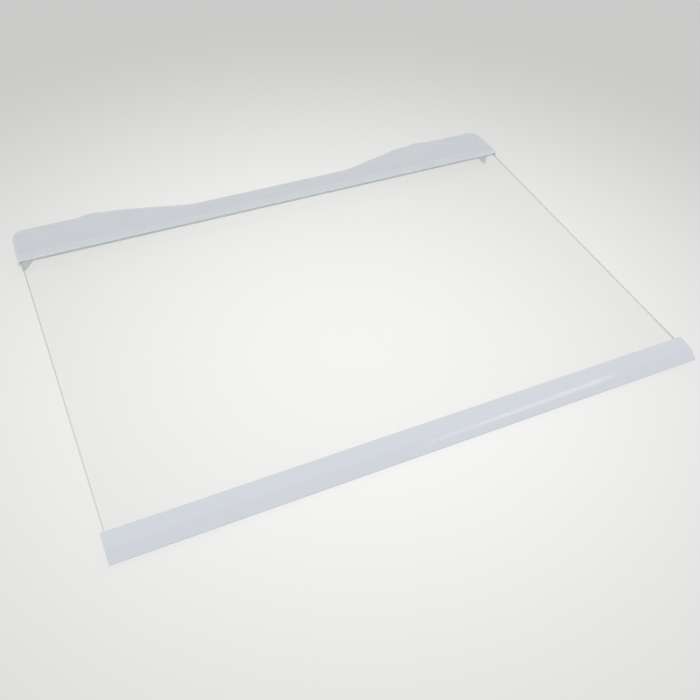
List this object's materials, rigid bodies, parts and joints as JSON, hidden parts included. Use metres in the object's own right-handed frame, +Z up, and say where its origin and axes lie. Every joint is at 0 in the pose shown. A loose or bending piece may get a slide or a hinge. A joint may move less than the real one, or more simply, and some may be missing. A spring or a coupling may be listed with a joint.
{
  "type": "refrigerator shelf",
  "caption": "Flat clear glass refrigerator shelf with a slant-nosed plastic front trim and a plastic rear trim that has a recessed back edge, stop nubs and locating lugs.",
  "frame": {"origin": "under the middle of the shelf's overall width and depth, level with the feet of the two rear lugs", "axes": "+X to the right as seen from the front, +Y to the back of the cabinet, +Z up, with the glass level"},
  "size_m": [0.48, 0.355, 0.0234],
  "materials": {
    "clear_glass": "clear toughened float glass with ground edges",
    "front_plastic": "pale cool grey extruded plastic, satin",
    "rear_plastic": "pale cool grey moulded plastic, fine satin grain"
  },
  "bodies": {
    "root": {"glass_panel": "clear_glass", "front_trim": "front_plastic", "rear_trim": "rear_plastic"}
  },
  "joints": []
}
